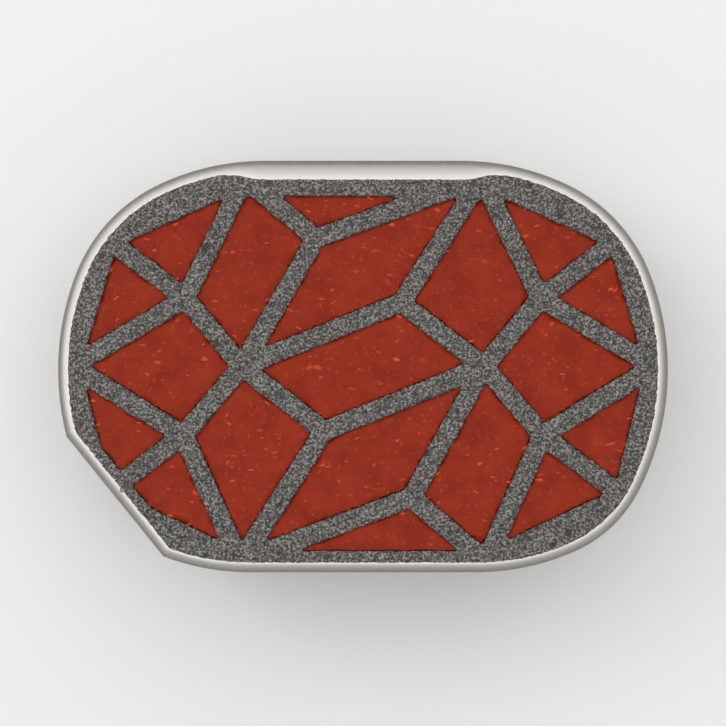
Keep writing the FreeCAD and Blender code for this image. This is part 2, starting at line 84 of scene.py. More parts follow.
# Node group that all the finishes use
GRAIN_GROUP = "fine_grain"

# Sockets of a Mix node that mixes colours
MIX_SHARE = 0
MIX_LOW = 6
MIX_HIGH = 7
MIX_RESULT = 2

log = logging.getLogger("interbody_cage")

Colour = tuple[float, float, float]
Place = tuple[float, float, float]
Range = tuple[float, float]


class Slot(Enum):
    """Material slots of the record that the pieces take their finish from."""

    SATIN = "satin_titanium"
    POROUS = "porous_titanium"
    GRAFT = "bone_graft"


class Endplate(Enum):
    """The two load-bearing faces of the cage, by the name of their mount."""

    UPPER = "upper_endplate"
    LOWER = "lower_endplate"


def clamped(value: float, low: float, high: float) -> float:
    """Value held between two bounds."""
    return max(low, min(high, value))


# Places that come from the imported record

def mount_named(name: str) -> dict:
    """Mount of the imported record.

    Args:
        name: the mount's name.

    Returns:
        The mount with its place and axis.
    """
    return next(mount for mount in frame["record"]["mounts"] if mount["name"] == name)


@dataclass(frozen=True)
class Plane:
    """A flat bed of the cage.

    Attributes:
        point: a point of the bed.
        outward: unit vector out of the cage.
    """

    point: Vector
    outward: Vector

    @classmethod
    def of(cls, endplate: Endplate) -> "Plane":
        """Plane of an endplate's porous bed."""
        mount = mount_named(endplate.value)
        return cls(Vector(mount["pos_m"]) / MM, Vector(mount["axis"]).normalized())

    def height(self, point: Vector) -> float:
        """How far a point stands out of the plane."""
        return (point - self.point).dot(self.outward)

    def holds(self, face: BMFace, lift: float = 0.0) -> bool:
        """Whether a whole face lies at a height above the plane."""
        return all(abs(self.height(vert.co) - lift) < ON_PLANE for vert in face.verts)


@dataclass(frozen=True)
class Bore:
    """The threaded inserter hole, from its mount.

    Attributes:
        middle: middle of the hole's straight wall.
        axis: unit vector out of the cage.
        radius: radius of the straight wall.
        length: length of the straight wall.
    """

    middle: Vector
    axis: Vector
    radius: float
    length: float

    @classmethod
    def of_record(cls) -> "Bore":
        """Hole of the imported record."""
        mount = mount_named("inserter_thread")
        return cls(Vector(mount["pos_m"]) / MM, Vector(mount["axis"]).normalized(),
                   mount["dims"]["r_mm"], mount["dims"]["length_mm"])

    def depth_and_radius(self, point: Vector) -> tuple[float, float]:
        """Depth of a point under the hole's bevel, and its distance from the axis."""
        along = (point - self.middle).dot(self.axis)
        return self.length / 2 - along, (point - self.middle - self.axis * along).length

    def outward_from_axis(self, point: Vector) -> Vector:
        """Unit vector from the axis to a point."""
        away = point - self.middle
        return (away - self.axis * away.dot(self.axis)).normalized()

    def placement(self) -> Matrix:
        """Turn and place whose Z runs into the cage from the inner end of the hole's bevel."""
        turn = (-self.axis).to_track_quat("Z", "Y").to_matrix().to_4x4()
        return Matrix.Translation(self.middle + self.axis * self.length / 2) @ turn


# Meshes

def copy_of(node: str) -> BMesh:
    """Copy of a CAD node's mesh with its doubled vertices merged.

    Args:
        node: name of the node.

    Returns:
        The copy, in millimetres.
    """
    copy = bmesh.new()
    copy.from_mesh(frame["nodes"][node].data)
    bmesh.ops.scale(copy, vec=Vector((1, 1, 1)) / MM, verts=copy.verts)
    bmesh.ops.remove_doubles(copy, verts=copy.verts, dist=MERGE_DISTANCE)
    return copy


def keep_bed(mesh: BMesh, plane: Plane) -> None:
    """Delete every face of a mesh that doesn't lie in a bed's plane.

    Args:
        mesh: mesh to change.
        plane: plane of the bed.
    """
    others = [face for face in mesh.faces if not plane.holds(face)]
    bmesh.ops.delete(mesh, geom=others, context="FACES")


def evenly_faceted(source: BMesh, size: float) -> BMesh:
    """The same closed shape in even facets.

    Args:
        source: closed mesh, which is freed.
        size: edge length of the facets.

    Returns:
        The new mesh.
    """
    mesh = bpy.data.meshes.new("facet_source")
    source.to_mesh(mesh)
    source.free()
    holder = bpy.data.objects.new("facet_source", mesh)
    bpy.context.scene.collection.objects.link(holder)
    remesh = holder.modifiers.new("even_facets", "REMESH")
    remesh.mode = "VOXEL"
    remesh.voxel_size = size
    evaluated = holder.evaluated_get(bpy.context.evaluated_depsgraph_get())
    result = bmesh.new()
    result.from_mesh(evaluated.to_mesh())
    evaluated.to_mesh_clear()
    bpy.data.objects.remove(holder)
    bpy.data.meshes.remove(mesh)
    return result


def push(mesh: BMesh, distance: Callable[[BMVert], float]) -> None:
    """Move every vertex along its normal by its own distance.

    Args:
        mesh: mesh to change.
        distance: gives each vertex's distance, outwards where it is positive.
    """
    mesh.normal_update()
    moves = [vert.normal * distance(vert) for vert in mesh.verts]
    for vert, move in zip(mesh.verts, moves):
        vert.co += move


def finish_piece(mesh: BMesh, name: str, material: bpy.types.Material,
                 node: str) -> bpy.types.Object:
    """Bring a mesh to metres and make it a piece of the object.

    Args:
        mesh: mesh in millimetres, which is freed.
        name: name of the piece.
        material: its material.
        node: CAD node that it stands for.

    Returns:
        The new object.
    """
    bmesh.ops.scale(mesh, vec=Vector((1, 1, 1)) * MM, verts=mesh.verts)
    for face in mesh.faces:
        face.smooth = True
    data = bpy.data.meshes.new(name)
    mesh.to_mesh(data)
    mesh.free()
    data.set_sharp_from_angle(angle=SHARP_EDGE)
    data.materials.append(material)
    piece = bpy.data.objects.new(name, data)
    bpy.context.scene.collection.objects.link(piece)
    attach(piece, "root")
    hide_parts(node)
    log.info("%s: %d faces", name, len(data.polygons))
    return piece


def follow_cad_normals(piece: bpy.types.Object, node: str) -> None:
    """Shade a piece by a CAD node's true surfaces wherever it still lies on them.

    Args:
        piece: finished piece that was made from the node's copy.
        node: name of the node.
    """
    source = frame["nodes"][node].data
    tree = BVHTree.FromPolygons([vert.co for vert in source.vertices],
                                [face.vertices for face in source.polygons])
    normals = [corner.vector.copy() for corner in piece.data.corner_normals]
    for face in piece.data.polygons:
        for loop in face.loop_indices:
            place = piece.data.vertices[piece.data.loops[loop].vertex_index].co
            hits = tree.find_nearest_range(place, ON_PLANE * MM)
            nearest = max(hits, key=lambda hit: hit[1].dot(face.normal), default=None)
            if nearest and nearest[1].dot(face.normal) > math.cos(SAME_FACE):
                normals[loop] = surface_normal(source, source.polygons[nearest[2]], nearest[0])
    piece.data.normals_split_custom_set(normals)


def surface_normal(mesh: bpy.types.Mesh, face: bpy.types.MeshPolygon, place: Vector) -> Vector:
    """True normal of a mesh's curved surface at a place on one of its triangles.

    Args:
        mesh: mesh with its own corner normals.
        face: triangle of the mesh.
        place: point on the triangle.

    Returns:
        The corners' normals, shared out over the triangle.
    """
    corners = [mesh.vertices[index].co for index in face.vertices]
    ends = [mesh.corner_normals[loop].vector for loop in face.loop_indices]
    return barycentric_transform(place, *corners, *ends).normalized()


# Nodes and finishes

class Nodes:
    """A node tree that is filled by short calls."""

    def __init__(self, tree: bpy.types.NodeTree) -> None:
        """Work on a tree."""
        self.tree = tree

    def add(self, kind: str, **settings: object) -> bpy.types.Node:
        """Add a node.

        Args:
            kind: the node's type name, without its ShaderNode prefix.
            settings: values of the node's properties.

        Returns:
            The node.
        """
        node = self.tree.nodes.new(f"ShaderNode{kind}")
        for name, setting in settings.items():
            setattr(node, name, setting)
        return node

    def fill(self, socket: bpy.types.NodeSocket, source: object) -> None:
        """Fill one input.

        Args:
            socket: the input.
            source: value for it, or another node's output.
        """
        if isinstance(source, bpy.types.NodeSocket):
            self.tree.links.new(source, socket)
        else:
            socket.default_value = source

    def feed(self, node: bpy.types.Node, **sources: object) -> bpy.types.Node:
        """Fill a node's inputs with values or with other nodes' outputs.

        Args:
            node: the node.
            sources: input names, with underscores for spaces, and what each gets.

        Returns:
            The same node.
        """
        for name, source in sources.items():
            self.fill(node.inputs[name.replace("_", " ")], source)
        return node

    def worked(self, operation: str, first: object, second: object) -> bpy.types.NodeSocket:
        """Work out a sum on two values.

        Args:
            operation: the Math node's operation.
            first: value or output.
            second: value or output.

        Returns:
            The result.
        """
        node = self.add("Math", operation=operation)
        self.fill(node.inputs[0], first)
        self.fill(node.inputs[1], second)
        return node.outputs[0]

    def mapped(self, source: object, low: object, high: object) -> bpy.types.NodeSocket:
        """A value's smooth share of the way from one bound to another, from 0 to 1."""
        node = self.feed(self.add("MapRange", interpolation_type="SMOOTHSTEP"), Value=source)
        return self.feed(node, From_Min=low, From_Max=high).outputs["Result"]

    def mixed(self, share: object, low: object, high: object) -> bpy.types.NodeSocket:
        """Mix two colours.

        Args:
            share: 0 for the first colour and 1 for the second.
            low: the first colour.
            high: the second colour.

        Returns:
            The colour between them.
        """
        node = self.add("Mix", data_type="RGBA", clamp_factor=True)
        for index, source in ((MIX_SHARE, share), (MIX_LOW, low), (MIX_HIGH, high)):
            self.fill(node.inputs[index], source)
        return node.outputs[MIX_RESULT]

    def attribute(self, name: str) -> bpy.types.NodeSocket:
        """Value that a mesh carries at each of its vertices."""
        return self.add("Attribute", attribute_name=name).outputs["Fac"]

    def bumped(self, height: bpy.types.NodeSocket, relief: "Relief") -> bpy.types.NodeSocket:
        """Normal of a surface with a fine relief."""
        node = self.feed(self.add("Bump"), Height=height, Strength=relief.strength)
        return self.feed(node, Distance=relief.depth * MM).outputs["Normal"]


def rgba(colour: Colour) -> tuple[float, float, float, float]:
    """Colour with full alpha."""
    return (*colour, 1.0)


def grain_group(layers: float = 2.0, roughness: float = 0.6) -> bpy.types.NodeTree:
    """Group for a fine grain in the piece's own space, shared by all the finishes.

    Args:
        layers: finer layers of noise on top of the grain.
        roughness: strength of each layer as a share of the one before it.

    Returns:
        A group with the inputs Size in metres, Low and High, and the output Mask.
    """
    tree = bpy.data.node_groups.new(GRAIN_GROUP, "ShaderNodeTree")
    for name in ("Size", "Low", "High"):
        tree.interface.new_socket(name, in_out="INPUT", socket_type="NodeSocketFloat")
    tree.interface.new_socket("Mask", in_out="OUTPUT", socket_type="NodeSocketFloat")
    nodes = Nodes(tree)
    given = tree.nodes.new("NodeGroupInput")
    out = tree.nodes.new("NodeGroupOutput")
    place = nodes.add("TexCoord").outputs["Object"]
    scale = nodes.worked("DIVIDE", 1.0, given.outputs["Size"])
    texture = nodes.feed(nodes.add("TexNoise"), Vector=place, Scale=scale, Detail=layers,
                         Roughness=roughness)
    mask = nodes.mapped(texture.outputs["Fac"], given.outputs["Low"], given.outputs["High"])
    tree.links.new(mask, out.inputs["Mask"])
    return tree


def principled(name: str) -> tuple[bpy.types.Material, Nodes, bpy.types.Node]:
    """Make a new material.

    Args:
        name: name of the material.

    Returns:
        The material, its nodes and its Principled shader.
    """
    material = bpy.data.materials.new(name)
    material.use_nodes = True
    return material, Nodes(material.node_tree), material.node_tree.nodes["Principled BSDF"]


@dataclass(frozen=True)
class Grain:
    """One use of the fine grain.

    Attributes:
        size: size of the grain.
        low: noise value at which it is still dark.
        high: noise value from which it is light.
    """

    size: float
    low: float = 0.35
    high: float = 0.65

    def placed(self, nodes: Nodes) -> bpy.types.NodeSocket:
        """Mask of this grain in a material."""
        node = nodes.add("Group", node_tree=bpy.data.node_groups[GRAIN_GROUP])
        return nodes.feed(node, Size=self.size * MM, Low=self.low, High=self.high).outputs["Mask"]


@dataclass(frozen=True)
class Relief:
    """Fine relief that is only shaded: its depth, and how much of it shows."""

    depth: float
    strength: float


@dataclass(frozen=True)
class Moisture:
    """How a moist surface shines."""

    specular: float
    coat: float
    roughness: float = 0.45
    coat_roughness: float = 0.12

    def wet(self, nodes: Nodes, shader: bpy.types.Node) -> None:
        """Set a shader's shine."""
        nodes.feed(shader, Roughness=self.roughness, Specular_IOR_Level=self.specular,
                   Coat_Weight=self.coat, Coat_Roughness=self.coat_roughness)


@dataclass(frozen=True)
class SatinFinish:
    """Titanium that is polished satin on the rim, with painted shade towards the rim's outer edge,
    and left as printed on the walls.

    Attributes:
        polished: colour of the polished rim.
        printed: colour of the printed walls on their powder grains, which the rim's outer edge also
            takes as painted shade.
        printed_dip: colour of the printed walls between their powder grains.
        polished_roughness: roughness of the rim.
        printed_roughness: roughness of the walls.
        cloud: size of the faint clouds in the finish.
        cloud_tone: brightness of the clouds as a share of the polished colour.
        cloud_share: how much of the clouds shows.
        powder: grain of the printed walls.
        powder_relief: relief of that grain.
    """

    polished: Colour = (0.54, 0.512, 0.48)
    printed: Colour = (0.228, 0.220, 0.204)
    printed_dip: Colour = (0.186, 0.180, 0.166)
    polished_roughness: float = 0.34
    printed_roughness: float = 0.5
    cloud: Grain = Grain(0.5, 0.2, 0.8)
    cloud_tone: float = 0.9
    cloud_share: float = 0.12
    powder: Grain = Grain(0.09, 0.3, 0.7)
    powder_relief: Relief = Relief(0.02, 0.6)

    def material(self) -> bpy.types.Material:
        """Make the material.

        Returns:
            A material that reads from an attribute how polished the surface is, and where painted
            shade darkens the rim.
        """
        material, nodes, shader = principled("satin_titanium")
        polish = nodes.attribute(POLISH_AND_SHADE)
        powder = self.powder.placed(nodes)
        printed = nodes.mixed(powder, rgba(self.printed_dip), rgba(self.printed))
        # Painted shade: where the attribute falls towards the rim's outer edge, the polished colour
        # gives way to the darker printed one.
        colour = nodes.mixed(polish, printed, rgba(self.polished))
        tone = tuple(self.cloud_tone * part for part in self.polished)
        clouds = nodes.mixed(self.cloud.placed(nodes), rgba(tone), colour)
        cloudy = nodes.mixed(self.cloud_share, colour, clouds)
        rough = nodes.feed(nodes.add("MapRange"), Value=polish, To_Min=self.printed_roughness,
                           To_Max=self.polished_roughness).outputs["Result"]
        height = nodes.worked("MULTIPLY", powder, nodes.worked("SUBTRACT", 1.0, polish))
        nodes.feed(shader, Base_Color=cloudy, Metallic=1.0, Roughness=rough,
                   Normal=nodes.bumped(height, self.powder_relief))
        return material


@dataclass(frozen=True)
class PorousFinish:
    """Rough printed titanium, with painted shade in its pits and bare on its grains.

    Attributes:
        pit_shade_and_dark_grain: painted shade in the pits, and the dark part of the coarse grain.
        body: colour between pits and crests.
        crest: colour of the bare crests.
        fine: grain of the bare crests.
        coarse: grain of the colour between them.
        pit_shade_heights: heights of the grains, from -1 to 1, between which the painted shade of
            the pits gives way to the crests' speckle.
        metallic: share of bare metal, for a surface that its pores make dull.
        roughness: roughness of the whole bed.
        powder_relief: relief of the fine grain.
    """

    pit_shade_and_dark_grain: Colour = (0.022, 0.021, 0.019)
    body: Colour = (0.080, 0.075, 0.066)
    crest: Colour = (0.265, 0.253, 0.232)
    fine: Grain = Grain(0.15, 0.44, 0.62)
    coarse: Grain = Grain(0.24, 0.38, 0.66)
    pit_shade_heights: Range = (-0.9, 0.1)
    metallic: float = 0.35
    roughness: float = 0.62
    powder_relief: Relief = Relief(0.03, 0.7)

    def material(self) -> bpy.types.Material:
        """Make the material.

        Returns:
            A material that reads the height of the grains from an attribute, to paint shade into
            the pits.
        """
        material, nodes, shader = principled("porous_titanium")
        fine = self.fine.placed(nodes)
        ground = nodes.mixed(self.coarse.placed(nodes), rgba(self.pit_shade_and_dark_grain), rgba(self.body))
        speckled = nodes.mixed(fine, ground, rgba(self.crest))
        # Painted shade: where the grains are low, the surface takes the near-black pit colour.
        out_of_pit_shade = nodes.mapped(nodes.attribute(CREST), *self.pit_shade_heights)
        colour = nodes.mixed(out_of_pit_shade, rgba(self.pit_shade_and_dark_grain), speckled)
        nodes.feed(shader, Base_Color=colour, Metallic=self.metallic, Roughness=self.roughness,
                   Normal=nodes.bumped(fine, self.powder_relief))
        return material


@dataclass(frozen=True)
class GraftFinish:
    """Moist red graft with paler morsels in it.

    Attributes:
        deep: darkest red of the graft's clouds.
        flesh: lightest red of the graft's clouds.
        pale: colour of the morsels.
        cloud: size of the clouds.
        morsel: size of the morsels.
        morsel_relief: relief of the morsels.
        moisture: shine of the graft.
    """

    deep: Colour = (0.235, 0.014, 0.002)
    flesh: Colour = (0.31, 0.023, 0.004)
    pale: Colour = (0.39, 0.048, 0.014)
    cloud: Grain = Grain(1.6, 0.25, 0.75)
    morsel: Grain = Grain(0.3, 0.56, 0.78)
    morsel_relief: Relief = Relief(0.03, 0.3)
    moisture: Moisture = Moisture(specular=0.08, coat=0.08)

    def material(self) -> bpy.types.Material:
        """Make the material.

        Returns:
            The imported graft's material.
        """
        material, nodes, shader = principled("bone_graft")
        ground = nodes.mixed(self.cloud.placed(nodes), rgba(self.deep), rgba(self.flesh))
        morsel = self.morsel.placed(nodes)
        colour = nodes.mixed(morsel, ground, rgba(self.pale))
        nodes.feed(shader, Base_Color=colour, Normal=nodes.bumped(morsel, self.morsel_relief))
        self.moisture.wet(nodes, shader)
        return material


@dataclass(frozen=True)
class ChipFinish:
    """Bone chips that show pale and wet on the graft.

    Attributes:
        stained: colour of the chips where the graft stains them.
        bare: their colour where it doesn't.
        cloud: size of the stains.
        moisture: shine of the chips.
    """

    stained: Colour = (0.42, 0.040, 0.011)
    bare: Colour = (0.60, 0.078, 0.026)
    cloud: Grain = Grain(0.9, 0.35, 0.65)
    moisture: Moisture = Moisture(specular=0.1, coat=0.1)

    def material(self) -> bpy.types.Material:
        """Make the material.

        Returns:
            The chips' material.
        """
        material, nodes, shader = principled("bone_chips")
        colour = nodes.mixed(self.cloud.placed(nodes), rgba(self.stained), rgba(self.bare))
        nodes.feed(shader, Base_Color=colour)
        self.moisture.wet(nodes, shader)
        return material


# Titanium cage

@dataclass
class CageShell:
    """The printed body: rim, walls, truss and boss, without its rough beds and thread.

    Attributes:
        sunk: depth that the flat beds sink under the rough ones.
        tuck: how far the edges of the sunk beds move in under the rough ones.
        edge_lean: sideways part of a vertex's normal that tells an edge of the bed.
        rim_depth: depth under the bed down to which the rim carries its polished finish and painted
            shade.
        rim_step: depth of the rim's flat under the bed.
        mark_reach: way in from the walls and down from the rim's flat, added up, past which
            a vertex is in the centre mark.
        rim_slice: length of the rim's faces along the wall.
        least_side: shortest side of the outline that is used.
        polish_to_shade_power: how fast the polished colour gives way to painted shade from the bed
            to the rim's outer edge.
        mouth: reach past the hole's wall in which vertices move, short of its bevel's edge.
        bore_relief: radius of the hole behind the liner.
    """

    sunk: float = 0.24
    tuck: float = 0.09
    edge_lean: float = 0.1
    rim_depth: float = 0.95
    rim_step: float = 0.3
    mark_reach: float = 0.78
    rim_slice: float = 0.8
    least_side: float = 0.02
    polish_to_shade_power: float = 1.25
    mouth: float = 0.38
    bore_relief: float = 2.56

    def build(self, material: bpy.types.Material) -> bpy.types.Object:
        """Build the shell.

        Args:
            material: the satin finish.

        Returns:
            The piece that stands for the CAD cage.
        """
        shell = copy_of("cage_body")
        for plane in map(Plane.of, Endplate):
            self.slice_rim(shell, plane)
            self.mark_polish_and_shade(shell, plane)
            self.sink_bed(shell, plane)
        self.widen_bore(shell)
        piece = finish_piece(shell, "cage_shell", material, "cage_body")
        follow_cad_normals(piece, "cage_body")
        return piece

    def in_rim(self, vert: BMVert, plane: Plane) -> bool:
        """Whether a vertex lies between the foot of the rim's rounding and the bed."""
        return -self.rim_depth < plane.height(vert.co) < -ON_PLANE

    def slice_rim(self, shell: BMesh, plane: Plane) -> None:
        """Cut the rim's long faces into short ones, which can carry its polish.

        Args:
            shell: the cage's mesh.
            plane: plane of the bed inside the rim.
        """
        rim = [face for face in shell.faces if all(self.in_rim(vert, plane) for vert in face.verts)]
        parts = {part for face in rim for part in (*face.verts, *face.edges, face)}
        for axis in (Vector((1, 0, 0)), Vector((0, 1, 0))):
            low, high = (corner.dot(axis) / MM for corner in CAD_BOX)
            for step in range(1, math.ceil((high - low) / self.rim_slice)):
                cut = bmesh.ops.bisect_plane(shell, geom=list(parts), dist=ON_PLANE,
                                             plane_co=axis * (low + step * self.rim_slice),
                                             plane_no=axis)
                parts = set(cut["geom"])

    def mark_polish_and_shade(self, shell: BMesh, plane: Plane) -> None:
        """Write how polished the rim is, and its painted shade: full beside the bed and none at its
        outer edge, which takes the darker printed colour.

        Args:
            shell: the cage's mesh.
            plane: plane of the bed inside the rim.
        """
        layer = shell.verts.layers.float.get(POLISH_AND_SHADE) or shell.verts.layers.float.new(POLISH_AND_SHADE)
        sides = self.outline(shell)
        bed = shell.copy()
        keep_bed(bed, plane)
        tree = BVHTree.FromBMesh(bed)
        bed.free()
        for vert in shell.verts:
            if not self.in_rim(vert, plane):
                continue
            height = plane.height(vert.co)
            from_edge = max(0.0, min((vert.co - corner).dot(inward) for corner, inward in sides))
            to_bed = tree.find_nearest(vert.co - plane.outward * height)[3]
            share = from_edge / (from_edge + to_bed + ON_PLANE)
            under_rim = -height - self.rim_step
            in_mark = under_rim > ON_PLANE and from_edge + under_rim > self.mark_reach
            # Painted shade: the value falls from the bed to the outer edge to darken the rim's
            # rounding; the centre mark gets none.
            vert[layer] = 0.0 if in_mark else share ** self.polish_to_shade_power

    def outline(self, shell: BMesh) -> list[tuple[Vector, Vector]]:
        """Sides of the cage's convex outline in plan.

        Args:
            shell: the cage's mesh.

        Returns:
            A corner and the inward normal of each side.
        """
        spots = [vert.co.xy for vert in shell.verts]
        corners = [spots[index] for index in convex_hull_2d(spots)]
        sides = []
        for start, end in zip(corners, corners[1:] + corners[:1]):
            if (end - start).length < self.least_side:
                continue
            along = (end - start).normalized()
            inward = Vector((-along.y, along.x))
            # The origin lies inside the outline
            if inward.dot(start) > 0:
                inward.negate()
            sides.append((start.to_3d(), inward.to_3d()))
        return sides

    def sink_bed(self, shell: BMesh, plane: Plane) -> None:
        """Sink the flat bed under the rough one, and tuck its edges under it.

        Args:
            shell: the cage's mesh.
            plane: plane of the bed.
        """
        shell.normal_update()
        bed = [vert for vert in shell.verts if abs(plane.height(vert.co)) < ON_PLANE]
        moves = []
        for vert in bed:
            aside = vert.normal - plane.outward * vert.normal.dot(plane.outward)
            back = aside.normalized() * self.tuck if aside.length > self.edge_lean else Vector()
            moves.append(plane.outward * self.sunk + back)
        for vert, move in zip(bed, moves):
            vert.co -= move

    def widen_bore(self, shell: BMesh) -> None:
        """Move the hole's wall and its bevel's inner end out, behind the liner.

        Args:
            shell: the cage's mesh.
        """
        bore = Bore.of_record()
        for vert in shell.verts:
            depth, radius = bore.depth_and_radius(vert.co)
            on_wall = -self.mouth < depth < bore.length + ON_PLANE
            if on_wall and radius < bore.radius + self.mouth:
                vert.co += bore.outward_from_axis(vert.co) * (self.bore_relief - radius)


@dataclass
class InserterThread:
    """Liner of the inserter hole: its female M5 x 0.8 thread and the drill point under it.

    Attributes:
        pitch: pitch of the thread.
        groove: depth of the thread's groove.
        crest_share: share of the pitch that the flat crest takes.
        lead_in: width of the bevel at the mouth.
        outer_radius: radius of the liner's hidden outside.
        rows_per_pitch: rows of facets in one pitch.
        steps: facets around the hole.
        drill_point: angle of the drill point in degrees.
        tip_gap: how far the liner's tip stays in front of the CAD hole's.
        tip_wall: wall of the liner behind its tip.
        on_wall: how near the wall's radius a vertex of the wall lies.
        polish: how polished the mouth is; it fades to none at the last thread, as painted shade
            deeper in the hole.
    """

    pitch: float = 0.8
    groove: float = 0.38
    crest_share: float = 0.25
    lead_in: float = 0.385
    outer_radius: float = 2.52
    rows_per_pitch: int = 16
    steps: int = 96
    drill_point: float = 118.0
    tip_gap: float = 0.02
    tip_wall: float = 0.1
    on_wall: float = 0.01
    polish: float = 0.6

    def build(self, material: bpy.types.Material) -> bpy.types.Object:
        """Build the liner from a spun profile, then cut its helix.

        Args:
            material: the satin finish.

        Returns:
            The liner.
        """
        bore = Bore.of_record()
        liner = bmesh.new()
        profile = [liner.verts.new((radius, 0, depth)) for radius, depth in self.profile(bore)]
        edges = [liner.edges.new(pair) for pair in zip(profile, profile[1:])]
        bmesh.ops.spin(liner, geom=profile + edges, cent=(0, 0, 0), axis=(0, 0, 1),
                       angle=2 * math.pi, steps=self.steps, use_merge=True)
        bmesh.ops.remove_doubles(liner, verts=liner.verts, dist=MERGE_DISTANCE)
        for vert in liner.verts:
            self.cut(vert, bore)
        bmesh.ops.transform(liner, matrix=bore.placement(), verts=liner.verts)
        bmesh.ops.recalc_face_normals(liner, faces=liner.faces)
        # Painted shade: the mouth's polished colour fades to the darker printed one deeper in the
        # hole.
        layer = liner.verts.layers.float.new(POLISH_AND_SHADE)
        for vert in liner.verts:
            depth = bore.depth_and_radius(vert.co)[0]
            vert[layer] = self.polish * clamped(1 - depth / bore.length, 0.0, 1.0)
        return finish_piece(liner, "inserter_thread", material, "cage_body")

    def profile(self, bore: Bore) -> list[tuple[float, float]]:
        """Half section of the liner before its groove is cut.

        Args:
            bore: the inserter hole.

        Returns:
            Radius and depth of its points, from the tip inside round to the tip outside.
        """
        rows = round(bore.length / self.pitch * self.rows_per_pitch)
        wall = [(bore.radius, bore.length * row / rows) for row in range(rows, -1, -1)]
        mouth = (bore.radius + self.lead_in, -self.lead_in)
        tip = bore.length + bore.radius / math.tan(math.radians(self.drill_point / 2))
        outside = [(self.outer_radius, bore.length), (0.0, tip + self.tip_wall)]
        return [(0.0, tip - self.tip_gap), *wall, mouth, *outside]

    def cut(self, vert: BMVert, bore: Bore) -> None:
        """Move a vertex of the plain wall out into the groove, which runs out at both ends.

        Args:
            vert: vertex of the liner, with Z into the cage.
            bore: the inserter hole.
        """
        if abs(math.hypot(vert.co.x, vert.co.y) - bore.radius) > self.on_wall:
            return
        depth = vert.co.z
        turn = math.atan2(vert.co.y, vert.co.x) / (2 * math.pi)
        phase = (depth / self.pitch - turn) % 1.0
        flank = clamped(1 - abs(phase - 0.5) / (0.5 - self.crest_share / 2), 0.0, 1.0)
        run_out = self.pitch / 2
        fade = clamped(min(depth, bore.length - depth) / run_out, 0.0, 1.0)
        reach = 1 + self.groove * flank * fade / bore.radius
        vert.co.x *= reach
        vert.co.y *= reach


@dataclass
class PorousBed:
    """Rough bed of one endplate: the perimeter frame and the struts of its truss.

    Attributes:
        endplate: the endplate that it covers.
        seat: depth of its hidden underside.
        relief: height of its grains on each side of their middle.
        lift: share of that height that the grains are pushed by.
        facet: size of its facets.
        grain: size of its grains.
        drift: size of the waves that the grains' height drifts in.
        crest_top: height of a grain's middle, where a crest is 1 and the bottom of a hollow is -1.
        crest_fall: how fast a grain falls from its middle.
        crest_drift: height of the waves.
    """

    endplate: Endplate
    seat: float = 0.5
    relief: float = 0.075
    lift: float = 0.9
    facet: float = 0.11
    grain: float = 0.27
    drift: float = 0.9
    crest_top: float = 0.95
    crest_fall: float = 1.7
    crest_drift: float = 0.35

    def build(self, material: bpy.types.Material) -> bpy.types.Object:
        """Build the bed from the CAD cage's own flat faces.

        Args:
            material: the rough finish, shared by both beds.

        Returns:
            The piece.
        """
        plane = Plane.of(self.endplate)
        bed = evenly_faceted(self.slab(plane), self.facet)
        layer = bed.verts.layers.float.new(CREST)
        for vert in bed.verts:
            vert[layer] = self.crest(vert.co)
        floor = -self.seat + self.facet

        def rise(vert: BMVert) -> float:
            """Height that a vertex above the hidden underside is pushed by."""
            standing = plane.height(vert.co) > floor
            return self.relief * self.lift * vert[layer] if standing else 0.0

        push(bed, rise)
        for vert in bed.verts:
            vert.co -= plane.outward * max(0.0, plane.height(vert.co))
        name = f"porous_bed_{self.endplate.name.lower()}"
        return finish_piece(bed, name, material, "cage_body")

    def slab(self, plane: Plane) -> BMesh:
        """Smooth slab whose face lies at the middle height of the grains.

        Args:
            plane: plane of the bed.

        Returns:
            The closed slab.
        """
        slab = copy_of("cage_body")
        keep_bed(slab, plane)
        bmesh.ops.translate(slab, verts=slab.verts, vec=-plane.outward * self.relief)
        grown = bmesh.ops.extrude_face_region(slab, geom=list(slab.faces))
        base = [item for item in grown["geom"] if isinstance(item, BMVert)]
        bmesh.ops.translate(slab, verts=base, vec=plane.outward * (self.relief - self.seat))
        bmesh.ops.recalc_face_normals(slab, faces=slab.faces)
        return slab

    def crest(self, place: Vector) -> float:
        """Height of the powder grains at a place, from -1 in a hollow to 1 on a crest."""
        fall = self.crest_fall * noise.voronoi(place / self.grain)[0][0]
        return clamped(self.crest_top - fall + self.crest_drift * noise.noise(place / self.drift),
                       -1.0, 1.0)


# Graft

